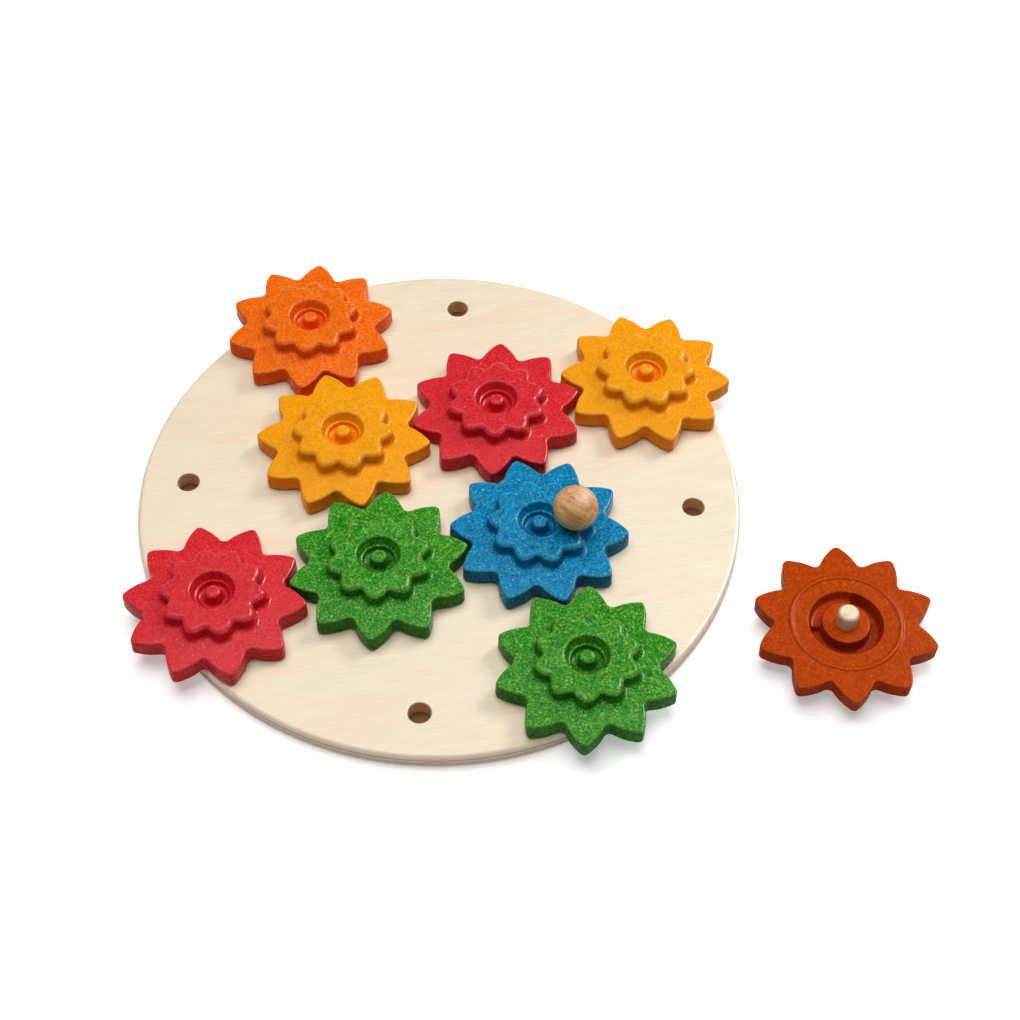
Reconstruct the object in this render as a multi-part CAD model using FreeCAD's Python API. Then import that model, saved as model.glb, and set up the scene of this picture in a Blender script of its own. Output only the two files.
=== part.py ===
import FreeCAD, Part
import math
import os

V = FreeCAD.Vector
UP = V(0, 0, 1)

# ---------------------------------------------------------------- sizes, mm
# Board: round plywood base with a square lattice of peg holes, corners left out.
hole_pitch = 80.0          # from hole to hole along a row or a column
hole_diameter = 11.0
hole_edge_round = 0.6
rim_width = 23.5           # from the outermost hole centres to the edge of the board
board_thickness = 9.0
board_edge_round = 2.2
lattice_side = 4           # holes along each side of the lattice

# Gear outline: pointed petals that mesh loosely.
petal_count = 10
petal_reach = 3.9          # how far a petal runs past the pitch circle
mesh_clearance = 2.0       # between a petal tip and the valley that it turns into
flank_radius = 27.6        # bulge of a petal's two sides
petal_tip_round = 2.7
petal_valley_round = 2.8

# Gear body, measured up from the bead that it slides on.
seat_gap = 0.3             # between that bead and the board
seat_bead_margin = 8.1     # from the valleys in to the middle of the bead
seat_bead_width = 3.0
seat_bead_height = 0.6     # the rest of the gear clears the board by this much more
petal_thickness = 9.3
petal_edge_round = 1.3
petal_foot_round = 0.5

# Raised flower in the middle of the gear.
flower_margin = 9.4        # from the valleys in to the flower's tips
flower_lobe_depth = 4.0    # from the flower's tips in to its notches
flower_height = 7.3
flower_flank_radius = 9.0
flower_tip_round = 3.2
flower_notch_round = 1.7
flower_edge_round = 1.3
flower_foot_round = 1.6

# Dish with a button in the middle of the flower.
dish_mouth_radius = 10.3
dish_mouth_round = 1.0
dish_floor_radius = 7.9
dish_depth = 4.6
dish_corner_round = 1.2
button_foot_radius = 4.3   # where its side would meet the floor of the dish
button_top_radius = 3.4    # where its side would meet its top
button_below_mouth = 1.0
button_top_round = 2.4
button_foot_round = 0.6

# Groove that cores the gear out from below, round its hub.
hub_radius = 11.3
hub_edge_round = 0.6
groove_width = 6.5         # at its mouth
groove_depth = 8.0
groove_lean = 1.6          # the outer wall leans in by this much down to the floor
groove_floor_round = 1.6
groove_lip_round = 0.5
pad_height = 3.0           # a pad on the groove's floor, under the crank's place
pad_petals = 3             # petals that the pad spans

# Peg: a fluted dowel, set in the hub and turning in a hole of the board.
peg_diameter = 10.0
peg_fit = 0.05             # radial, peg in its socket
peg_socket_depth = 9.0
peg_top_gap = 0.3          # above the peg in its socket
peg_recess = 1.0           # the peg ends this far above the board's underside
peg_chamfer = 1.0
flute_count = 20
flute_radius = 0.36

# Crank: a ball on a dowel stem, over one petal of the driving gear.
ball_diameter = 21.8
ball_flat_depth = 0.6
crank_radius = 17.0        # from the gear's axis to the stem's axis
ball_petal = -1            # petals from the gear's first one, counted anticlockwise
stem_diameter = 6.0
stem_fit = 0.05            # radial, stem in both of its sockets
stem_end_gap = 0.3         # at both ends of the stem
stem_chamfer = 0.5
stem_socket_in_gear = 6.5
stem_socket_in_ball = 10.0

# Spare gear: lies upside down on the same surface as the board.
spare_bearing = -37.9      # degrees from +X, seen from the middle of the board
spare_gap = 15.7           # from the board's edge to the nearest petal tip
spare_turn = 75.0          # degrees

overrun = 1.0              # how far a cutter runs past the face that it opens
near = 1e-4                # two places closer than this are the same

# ------------------------------------------------------- sizes that follow
pitch_radius = hole_pitch / 2
petal_pitch = 360.0 / petal_count
petal_tip_radius = pitch_radius + petal_reach
petal_valley_radius = pitch_radius - petal_reach - mesh_clearance
seat_bead_radius = petal_valley_radius - seat_bead_margin
flower_tip_radius = petal_valley_radius - flower_margin
flower_notch_radius = flower_tip_radius - flower_lobe_depth
petal_top = seat_bead_height + petal_thickness
gear_height = petal_top + flower_height
groove_radius = hub_radius + groove_width

lattice_middle = (lattice_side - 1) / 2
outer_hole_distance = hole_pitch * math.hypot(lattice_middle, lattice_middle - 1)
board_radius = outer_hole_distance + rim_width
gear_seat_z = board_thickness + seat_gap

peg_radius = peg_diameter / 2
peg_in_gear = peg_socket_depth - peg_top_gap
peg_below_seat = seat_gap + board_thickness - peg_recess
stem_radius = stem_diameter / 2
ball_radius = ball_diameter / 2

# Column and row of each gear's hole, counted from the lattice's corner at -X, -Y.
gear_places = {
    "orange": (1, 3),
    "yellow_inner": (1, 2),
    "red_inner": (2, 2),
    "yellow_outer": (3, 2),
    "green_inner": (1, 1),
    "blue": (2, 1),
    "red_outer": (0, 1),
    "green_outer": (2, 0),
}
crank_gear = "blue"


# ------------------------------------------------------------ small helpers
def polar(radius, degrees, z=0.0):
    angle = math.radians(degrees)
    return V(radius * math.cos(angle), radius * math.sin(angle), z)


def cylinder(radius, z0, z1, x=0.0, y=0.0):
    return Part.makeCylinder(radius, z1 - z0, V(x, y, z0), UP)


def edges_at(shape, z, low_radius, high_radius):
    """Level edges at a height that lie between two distances from the Z axis."""
    found = []
    for edge in shape.Edges:
        middle = edge.valueAt((edge.FirstParameter + edge.LastParameter) / 2)
        points = [vertex.Point for vertex in edge.Vertexes] + [middle]
        level = all(abs(point.z - z) < near for point in points)
        distances = [math.hypot(point.x, point.y) for point in points]
        if level and min(distances) > low_radius - near and max(distances) < high_radius + near:
            found.append(edge)
    return found


def circles_of(shape, radius):
    """Edges of a shape that are circles of one radius."""
    circles = [edge for edge in shape.Edges if edge.Curve.TypeId == "Part::GeomCircle"]
    return [edge for edge in circles if abs(edge.Curve.Radius - radius) < near]


def revolve(outline, start=0.0, degrees=360.0):
    """Solid of revolution about Z, or a sector of one, from a closed outline in the XZ plane."""
    solid = Part.Face(Part.Wire(outline)).revolve(V(0, 0, 0), UP, degrees)
    solid.rotate(V(0, 0, 0), UP, start)
    return solid


def rounded_outline(corners):
    """Closed outline in the XZ plane; each corner is (radius, z, rounding)."""
    count = len(corners)
    joints = []
    for index, (x, z, rounding) in enumerate(corners):
        corner = V(x, 0, z)
        before = V(corners[index - 1][0], 0, corners[index - 1][1])
        after = V(corners[(index + 1) % count][0], 0, corners[(index + 1) % count][1])
        if rounding == 0:
            joints.append((corner, corner, corner))
            continue
        to_before = (before - corner).normalize()
        to_after = (after - corner).normalize()
        half_angle = to_before.getAngle(to_after) / 2
        run = rounding / math.tan(half_angle)
        bisector = (to_before + to_after).normalize()
        middle = corner + bisector * (rounding / math.sin(half_angle) - rounding)
        joints.append((corner + to_before * run, middle, corner + to_after * run))
    edges = []
    for index, (start, middle, end) in enumerate(joints):
        if start != end:
            edges.append(Part.Arc(start, middle, end).toShape())
        next_start = joints[(index + 1) % count][0]
        edges.append(Part.LineSegment(end, next_start).toShape())
    return edges


# ------------------------------------------------------------ flower outline
def turned(point, degrees):
    return FreeCAD.Rotation(UP, degrees).multVec(point)


def mirrored(point):
    return V(point.x, -point.y, point.z)


def flower_wire(tip_radius, valley_radius, side_radius, tip_round, valley_round):
    """Petals round the Z axis, from arcs that run smoothly into each other.

    Each petal has a small arc at its tip, a bulging arc on either side and a
    small hollow arc in the valley on to the next one. The side arc's centre
    lies where it touches both small arcs.
    """
    half = petal_pitch / 2
    tip_centre = polar(tip_radius - tip_round, 0)
    valley_centre = polar(valley_radius + valley_round, half)
    from_tip = side_radius - tip_round
    from_valley = side_radius + valley_round
    apart = valley_centre - tip_centre
    along = (apart.Length ** 2 + from_tip ** 2 - from_valley ** 2) / (2 * apart.Length)
    across = math.sqrt(from_tip ** 2 - along ** 2)
    direction = V(apart).normalize()
    sideways = V(direction.y, -direction.x, 0)
    candidates = [tip_centre + direction * along + sideways * (sign * across) for sign in (1, -1)]
    side_centre = min(candidates, key=lambda point: point.y)
    tip_touch = side_centre + (tip_centre - side_centre).normalize() * side_radius
    valley_touch = side_centre + (valley_centre - side_centre).normalize() * side_radius
    chord_middle = (tip_touch + valley_touch) / 2
    side_middle = side_centre + (chord_middle - side_centre).normalize() * side_radius
    next_valley_touch = turned(mirrored(valley_touch), petal_pitch)
    arcs_of_one_petal = [
        (mirrored(valley_touch), mirrored(side_middle), mirrored(tip_touch)),
        (mirrored(tip_touch), polar(tip_radius, 0), tip_touch),
        (tip_touch, side_middle, valley_touch),
        (valley_touch, polar(valley_radius, half), next_valley_touch),
    ]
    edges = []
    for index in range(petal_count):
        for points in arcs_of_one_petal:
            start, middle, end = [turned(point, index * petal_pitch) for point in points]
            edges.append(Part.Arc(start, middle, end).toShape())
    return Part.Wire(edges)


def flower_prism(wire, z0, z1):
    face = Part.Face(wire)
    face.translate(V(0, 0, z0))
    return face.extrude(V(0, 0, z1 - z0))


# --------------------------------------------------------------------- gear
def dish_cutter():
    """The dish's hollow, with the button left standing in it."""
    mouth_z = gear_height
    floor_z = gear_height - dish_depth
    button_z = gear_height - button_below_mouth
    above = mouth_z + dish_mouth_round + overrun
    slope = (dish_mouth_radius - dish_floor_radius) / dish_depth
    outline = [
        (0, button_z, 0),
        (button_top_radius, button_z, button_top_round),
        (button_foot_radius, floor_z, button_foot_round),
        (dish_floor_radius, floor_z, dish_corner_round),
        (dish_mouth_radius + slope * (above - mouth_z), above, 0),
        (0, above, 0),
    ]
    return revolve(rounded_outline(outline))


def groove_outline(floor_z):
    mouth_z = seat_bead_height
    slope = groove_lean / (groove_depth - mouth_z)
    return rounded_outline([
        (hub_radius, -overrun, 0),
        (groove_radius + slope * (mouth_z + overrun), -overrun, 0),
        (groove_radius - slope * (floor_z - mouth_z), floor_z, groove_floor_round),
        (hub_radius, floor_z, groove_floor_round),
    ])


def groove_cutter():
    """Ring-shaped hollow that is open downwards, and shallower where the pad is."""
    pad_span = pad_petals * petal_pitch
    pad_end = ball_petal * petal_pitch + pad_span / 2
    deep = revolve(groove_outline(groove_depth), pad_end, 360.0 - pad_span)
    shallow = revolve(groove_outline(groove_depth - pad_height), pad_end - pad_span, pad_span)
    return deep.fuse(shallow)


def seat_bead():
    """Ring that the gear slides on: only a low bead of it stands out of the gear."""
    section_radius = (seat_bead_width ** 2 / 4 + seat_bead_height ** 2) / (2 * seat_bead_height)
    return Part.makeTorus(seat_bead_radius, section_radius, V(0, 0, section_radius), UP)


def make_gear(stem_place=None):
    """A gear in its own frame: axis on Z, sliding bead down to z = 0, a petal along +X."""
    petals = flower_wire(petal_tip_radius, petal_valley_radius, flank_radius,
                         petal_tip_round, petal_valley_round)
    disc = flower_prism(petals, seat_bead_height, petal_top)
    top_edges = edges_at(disc, petal_top, petal_valley_radius, petal_tip_radius)
    disc = disc.makeFillet(petal_edge_round, top_edges)
    foot_edges = edges_at(disc, seat_bead_height, petal_valley_radius, petal_tip_radius)
    disc = disc.makeFillet(petal_foot_round, foot_edges)

    flower = flower_wire(flower_tip_radius, flower_notch_radius, flower_flank_radius,
                         flower_tip_round, flower_notch_round)
    raised = flower_prism(flower, seat_bead_height, gear_height)
    top_edges = edges_at(raised, gear_height, flower_notch_radius, flower_tip_radius)
    raised = raised.makeFillet(flower_edge_round, top_edges)
    gear = disc.fuse(raised)
    foot_edges = edges_at(gear, petal_top, flower_notch_radius, flower_tip_radius)
    gear = gear.makeFillet(flower_foot_round, foot_edges)

    gear = gear.fuse(seat_bead())

    gear = gear.cut(dish_cutter())
    mouth_edge = edges_at(gear, gear_height, dish_mouth_radius, dish_mouth_radius)
    gear = gear.makeFillet(dish_mouth_round, mouth_edge)
    gear = gear.cut(groove_cutter())
    lip_edges = edges_at(gear, seat_bead_height, groove_radius, groove_radius)
    gear = gear.makeFillet(groove_lip_round, lip_edges)
    hub_edges = edges_at(gear, seat_bead_height, hub_radius, hub_radius)
    gear = gear.makeFillet(hub_edge_round, hub_edges)
    gear = gear.cut(cylinder(peg_radius + peg_fit, -overrun, peg_socket_depth))
    if stem_place is not None:
        socket_bottom = gear_height - stem_socket_in_gear
        gear = gear.cut(cylinder(stem_radius + stem_fit, socket_bottom, gear_height + overrun,
                                 stem_place.x, stem_place.y))
    return gear


# ---------------------------------------------------------------------- peg
def make_peg():
    """A peg in its gear's frame, reaching down through the board."""
    top = peg_in_gear
    bottom = -peg_below_seat
    peg = cylinder(peg_radius, bottom, top)
    rims = edges_at(peg, top, peg_radius, peg_radius) + edges_at(peg, bottom, peg_radius, peg_radius)
    peg = peg.makeChamfer(peg_chamfer, rims)
    flutes = []
    for index in range(flute_count):
        place = polar(peg_radius, index * 360.0 / flute_count)
        flutes.append(cylinder(flute_radius, bottom - overrun, top + overrun, place.x, place.y))
    return peg.cut(flutes)


# -------------------------------------------------------------------- crank
def crank_place():
    return polar(crank_radius, ball_petal * petal_pitch)


def make_stem():
    place = crank_place()
    bottom = gear_height - stem_socket_in_gear + stem_end_gap
    top = gear_height + stem_socket_in_ball - stem_end_gap
    stem = cylinder(stem_radius, bottom, top, place.x, place.y)
    return stem.makeChamfer(stem_chamfer, circles_of(stem, stem_radius))


def make_ball():
    place = crank_place()
    centre = V(place.x, place.y, gear_height + ball_radius - ball_flat_depth)
    ball = Part.makeSphere(ball_radius, centre)
    ball = ball.cut(cylinder(ball_radius, gear_height - ball_radius, gear_height, place.x, place.y))
    socket_top = gear_height + stem_socket_in_ball
    return ball.cut(cylinder(stem_radius + stem_fit, gear_height - overrun, socket_top, place.x, place.y))


# -------------------------------------------------------------------- board
def lattice_point(column, row):
    return V((column - lattice_middle) * hole_pitch, (row - lattice_middle) * hole_pitch, 0)


def hole_places():
    ends = (0, lattice_side - 1)
    for column in range(lattice_side):
        for row in range(lattice_side):
            if not (column in ends and row in ends):
                yield lattice_point(column, row)


def make_board():
    board = cylinder(board_radius, 0, board_thickness)
    hole_top = board_thickness + overrun
    for place in hole_places():
        board = board.cut(cylinder(hole_diameter / 2, -overrun, hole_top, place.x, place.y))
    board = board.makeFillet(board_edge_round, circles_of(board, board_radius))
    return board.makeFillet(hole_edge_round, circles_of(board, hole_diameter / 2))


# ----------------------------------------------------------------- assembly
def placed(shape, place, turn=0.0, upside_down=False):
    """A copy of a shape, flipped if asked, turned about Z and moved."""
    copy = shape.copy()
    if upside_down:
        copy.rotate(V(0, 0, 0), V(1, 0, 0), 180)
    copy.rotate(V(0, 0, 0), UP, turn)
    copy.translate(place)
    return copy


def gear_turn(column, row):
    """Neighbouring gears differ by half a petal, so petals meet valleys."""
    return petal_pitch / 2 if (column + row) % 2 else 0.0


def save(name, shape):
    solids = shape.Solids
    if len(solids) != 1 or not solids[0].isValid():
        raise RuntimeError(name + " isn't one valid solid")
    solids[0].exportStep("parts/" + name + ".step")
    print(name, "volume", round(solids[0].Volume), "mm3,", len(solids[0].Faces), "faces")


os.makedirs("parts", exist_ok=True)

gear = make_gear()
peg = make_peg()

save("board", make_board())

for colour, (column, row) in gear_places.items():
    place = lattice_point(column, row) + V(0, 0, gear_seat_z)
    turn = gear_turn(column, row)
    if colour == crank_gear:
        save("gear_" + colour, placed(make_gear(crank_place()), place, turn))
        save("crank_stem", placed(make_stem(), place, turn))
        save("crank_ball", placed(make_ball(), place, turn))
    else:
        save("gear_" + colour, placed(gear, place, turn))
    save("peg_" + colour, placed(peg, place, turn))

spare_place = polar(board_radius + spare_gap + petal_tip_radius, spare_bearing, gear_height)
save("gear_spare", placed(gear, spare_place, spare_turn, upside_down=True))
save("peg_spare", placed(peg, spare_place, spare_turn, upside_down=True))
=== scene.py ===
import math

import bmesh
import bpy
from mathutils import Matrix, Vector


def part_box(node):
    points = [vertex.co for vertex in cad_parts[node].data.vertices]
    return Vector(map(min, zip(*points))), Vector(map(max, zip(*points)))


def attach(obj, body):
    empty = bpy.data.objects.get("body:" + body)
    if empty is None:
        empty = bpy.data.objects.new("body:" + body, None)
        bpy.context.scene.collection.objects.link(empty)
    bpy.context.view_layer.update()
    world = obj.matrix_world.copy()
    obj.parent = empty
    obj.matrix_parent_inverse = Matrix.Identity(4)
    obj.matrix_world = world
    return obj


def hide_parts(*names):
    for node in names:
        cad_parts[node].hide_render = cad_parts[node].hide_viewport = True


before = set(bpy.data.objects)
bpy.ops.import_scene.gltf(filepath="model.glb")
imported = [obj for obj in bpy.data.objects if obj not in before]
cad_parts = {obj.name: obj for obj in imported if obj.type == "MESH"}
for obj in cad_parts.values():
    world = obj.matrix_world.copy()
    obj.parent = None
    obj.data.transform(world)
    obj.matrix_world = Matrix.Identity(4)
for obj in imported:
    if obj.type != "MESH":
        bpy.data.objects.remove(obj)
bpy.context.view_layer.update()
mm = 0.001  # sizes below are in millimetres, Blender's are in metres
scene = bpy.context.scene
print("frame loaded:", len(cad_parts), "nodes")


def linear(hexColour):
    # sRGB hex to the linear values that shaders use
    parts = [int(hexColour[i:i + 2], 16) / 255 for i in (0, 2, 4)]
    return tuple(p / 12.92 if p <= 0.04045 else ((p + 0.055) / 1.055) ** 2.4 for p in parts) + (1.0,)


def addNode(tree, kind, settings=None, links=None):
    # settings are the node's own properties, or values of its inputs by name or number
    # links go from an input of the new node to an output socket
    node = tree.nodes.new(kind)
    for key, value in (settings or {}).items():
        if isinstance(key, str) and hasattr(node, key):
            setattr(node, key, value)
        else:
            node.inputs[key].default_value = value
    for key, socket in (links or {}).items():
        tree.links.new(socket, node.inputs[key])
    return node


def colourRamp(tree, factor, stops):
    # stops are (place, hex colour)
    node = addNode(tree, "ShaderNodeValToRGB", links={"Fac": factor})
    ramp = node.color_ramp
    while len(ramp.elements) > 1:
        ramp.elements.remove(ramp.elements[-1])
    for index, (place, colour) in enumerate(stops):
        element = ramp.elements[0] if index == 0 else ramp.elements.new(place)
        element.position = place
        element.color = linear(colour)
    return node.outputs["Color"]


def newMaterial(name):
    material = bpy.data.materials.new(name)
    material.use_nodes = True
    tree = material.node_tree
    tree.nodes.clear()
    surface = addNode(tree, "ShaderNodeBsdfPrincipled")
    addNode(tree, "ShaderNodeOutputMaterial", links={"Surface": surface.outputs["BSDF"]})
    return material, tree, surface


print("camera and studio")
studio = {
    # the camera stands in front and a little to the left, and looks down on the board
    "cameraPlace": (-126.44, -555.64, 754.58),
    "cameraTurn": (36.897, -0.694, -15.428),  # degrees
    "cameraLens": 66.197,
    "cameraSensor": 36.0,
    # the key light is far off to the right, and a little behind the board
    "keyPlace": (2160.0, 786.0, 1929.0),
    "keySize": 1000.0,
    "keyPower": 30.0,
    "glintPower": 200.0,        # beside the key, in reflections only, for the shine on round edges
    # a large soft box hangs high over the board
    "boxPlace": (-250.0, 850.0, 5300.0),
    "boxSize": 4000.0,
    "boxPower": 227.0,
    "boxGlintPower": 170.0,     # in reflections only, for the veil on the tops
    "skyLevel": 0.10,           # what the room itself lights the pieces with
    "wallLevel": 0.60,          # what gloss shows of the walls and of the ceiling
    "ceilingLevel": 0.20,
    "wallTop": 0.45,            # sine of the angle at which the walls end
    "ceilingEdge": 0.70,
    "paper": "F5F5F5",
    "paintedShadeUnderBoard": "806048",     # painted shade below the board, so that its holes look deep
    "underMargin": 6.0,
    "paperSize": 6000.0,
    "paperRoughness": 0.95,
    "paperGlow": 0.35,          # seen by the camera only, and not through the board's holes
    "glowStart": 600.0,         # from here the glow grows to a full white far off
    "glowEnd": 2200.0,
}

cameraData = bpy.data.cameras.new("camera")
cameraData.lens = studio["cameraLens"]
cameraData.sensor_width = studio["cameraSensor"]
camera = bpy.data.objects.new("camera", cameraData)
camera.location = Vector(studio["cameraPlace"]) * mm
camera.rotation_euler = [math.radians(angle) for angle in studio["cameraTurn"]]
scene.collection.objects.link(camera)
scene.camera = camera
scene.view_settings.view_transform = "Standard"


def softLight(name, place, size, power, onlyGloss=False):
    data = bpy.data.lights.new(name, "AREA")
    data.size = size * mm
    data.energy = power
    lamp = bpy.data.objects.new(name, data)
    lamp.location = Vector(place) * mm
    lamp.rotation_euler = (-Vector(place)).to_track_quat("-Z", "Y").to_euler()
    lamp.visible_diffuse = not onlyGloss
    scene.collection.objects.link(lamp)


softLight("keyLight", studio["keyPlace"], studio["keySize"], studio["keyPower"])
softLight("glintLight", studio["keyPlace"], studio["keySize"], studio["glintPower"], onlyGloss=True)
softLight("softBox", studio["boxPlace"], studio["boxSize"], studio["boxPower"])
softLight("boxGlint", studio["boxPlace"], studio["boxSize"], studio["boxGlintPower"], onlyGloss=True)

# a white room for the camera, pale walls and a dim ceiling in reflections, and little light of its own
world = bpy.data.worlds.new("studio")
world.use_nodes = True
scene.world = world
tree = world.node_tree
tree.nodes.clear()
path = addNode(tree, "ShaderNodeLightPath")
direction = addNode(tree, "ShaderNodeTexCoord").outputs["Generated"]
rise = addNode(tree, "ShaderNodeSeparateXYZ", links={"Vector": direction}).outputs["Z"]
room = addNode(tree, "ShaderNodeMapRange",
               {"From Min": studio["wallTop"], "From Max": studio["ceilingEdge"],
                "To Min": studio["wallLevel"], "To Max": studio["ceilingLevel"]}, {"Value": rise})
reflected = addNode(tree, "ShaderNodeMath", {"operation": "MULTIPLY"},
                    {0: path.outputs["Is Glossy Ray"], 1: room.outputs["Result"]})
seen = addNode(tree, "ShaderNodeMath", {"operation": "MAXIMUM"},
               {0: path.outputs["Is Camera Ray"], 1: path.outputs["Is Transmission Ray"]})
seen = addNode(tree, "ShaderNodeMath", {"operation": "MAXIMUM"},
               {0: seen.outputs["Value"], 1: reflected.outputs["Value"]})
level = addNode(tree, "ShaderNodeMath", {"operation": "MAXIMUM", 1: studio["skyLevel"]},
                {0: seen.outputs["Value"]})
sky = addNode(tree, "ShaderNodeBackground", {"Color": (1, 1, 1, 1)}, {"Strength": level.outputs["Value"]})
addNode(tree, "ShaderNodeOutputWorld", links={"Surface": sky.outputs["Background"]})

# matte white paper: no gloss, and a shadow that stays pale, with painted shade under the board
paper, tree, surface = newMaterial("paperWithPaintedShade")
surface.inputs["Roughness"].default_value = studio["paperRoughness"]
surface.inputs["Specular IOR Level"].default_value = 0.0
surface.inputs["Emission Color"].default_value = (1, 1, 1, 1)
path = addNode(tree, "ShaderNodeLightPath")
spot = addNode(tree, "ShaderNodeTexCoord").outputs["Object"]
fromMiddle = addNode(tree, "ShaderNodeVectorMath", {"operation": "LENGTH"}, {0: spot})
boardLow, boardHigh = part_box("board")
clearFrom = boardHigh.x - studio["underMargin"] * mm
isClear = addNode(tree, "ShaderNodeMath", {"operation": "GREATER_THAN", 1: clearFrom},
                  {0: fromMiddle.outputs["Value"]})
# painted shade: inside the board's outline the paper takes a darker brown
paperAndPaintedShade = addNode(tree, "ShaderNodeMix", {"data_type": "RGBA", 6: linear(studio["paintedShadeUnderBoard"]),
                                              7: linear(studio["paper"])}, {0: isClear.outputs["Value"]})
tree.links.new(paperAndPaintedShade.outputs[2], surface.inputs["Base Color"])
inView = addNode(tree, "ShaderNodeMath", {"operation": "MULTIPLY"},
                 {0: path.outputs["Is Camera Ray"], 1: isClear.outputs["Value"]})
glowLevel = addNode(tree, "ShaderNodeMapRange",
                    {"From Min": studio["glowStart"] * mm, "From Max": studio["glowEnd"] * mm,
                     "To Min": studio["paperGlow"]}, {"Value": fromMiddle.outputs["Value"]})
glow = addNode(tree, "ShaderNodeMath", {"operation": "MULTIPLY"},
               {0: inView.outputs["Value"], 1: glowLevel.outputs["Result"]})
tree.links.new(glow.outputs["Value"], surface.inputs["Emission Strength"])
floorShape = bmesh.new()
bmesh.ops.create_grid(floorShape, x_segments=1, y_segments=1, size=studio["paperSize"] / 2 * mm)
floorMesh = bpy.data.meshes.new("floor")
floorShape.to_mesh(floorMesh)
floorShape.free()
floorMesh.materials.append(paper)
floor = bpy.data.objects.new("floor", floorMesh)
scene.collection.objects.link(floor)


print("materials")

# sawdust and glue pressed hot and dyed through: satin, grainy, with paler chips in the dye
compositeFinish = {
    "grainSize": 1.0,           # sawdust
    "mottleSize": 6.0,          # where the dye soaked in unevenly
    "grainShare": 0.80,         # of the pattern, and the rest is mottle
    "dyeStops": (0.40, 0.50, 0.60),     # where deep, base and pale dye lie in that pattern
    "dustSize": 0.9,
    "dustDraw": 5.0,            # picks another draw of the noise
    "dustOnMottle": 0.15,       # how far the dust follows the mottle
    "dustRange": (0.60, 0.76),  # from no dust to most of it
    "chipSize": 1.9,            # from one bright chip to the next
    "chipRange": (0.30, 0.16),  # from a chip's edge to its core, as shares of that
    "chipShare": 0.8,
    "rubbedAndSheenShare": 0.28,        # how far worn edges, with their painted highlight, turn to the colour of the dust
    # the mould has smoothed the upright walls, so less dust shows there, and painted shade deepens their
    # colour
    "wallFlecks": 0.35,
    "wallPaintedShade": 0.40,
    "hollowPaintedShade": 0.42,
    "fleckRise": (0.3, 0.8),    # from wall to top, by the height of the surface's normal
    "paintedShadeRise": (0.6, 0.25),   # where painted shade grows, from top to walls
    "roughness": 0.26,
    "grainGloss": (-0.06, 0.08),        # what the grain adds to it
    "bumpStrength": 0.4,
    "bumpDepth": 0.02,
}
# flecks is how much of the pale dust shows, and chips the share of chips that are bright
dyes = {
    "dyedOrangeComposite": {"deep": "E05600", "base": "F26A08", "pale": "F87A12", "fleck": "FA9A4A",
                            "flecks": 0.30, "chips": 0.08, "specular": 0.07},
    "dyedYellowComposite": {"deep": "EA9000", "base": "F69E00", "pale": "FAA60A", "fleck": "FCC04C",
                            "flecks": 0.30, "chips": 0.08, "specular": 0.07},
    "dyedRedComposite": {"deep": "C8141E", "base": "D61E28", "pale": "DE2E38", "fleck": "EC6A72",
                         "flecks": 0.20, "chips": 0.07, "specular": 0.11},
    "dyedGreenComposite": {"deep": "0A660A", "base": "208412", "pale": "489E28", "fleck": "9CCE5C",
                           "flecks": 0.52, "chips": 0.22, "specular": 0.07},
    "dyedBlueComposite": {"deep": "00588A", "base": "007CAA", "pale": "0092C0", "fleck": "5CC4E8",
                          "flecks": 0.36, "chips": 0.26, "specular": 0.06},
    "dyedBurntOrangeComposite": {"deep": "A83600", "base": "B63E00", "pale": "C04600", "fleck": "DC7018",
                                 "flecks": 0.24, "chips": 0.10, "specular": 0.03},
}


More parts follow.
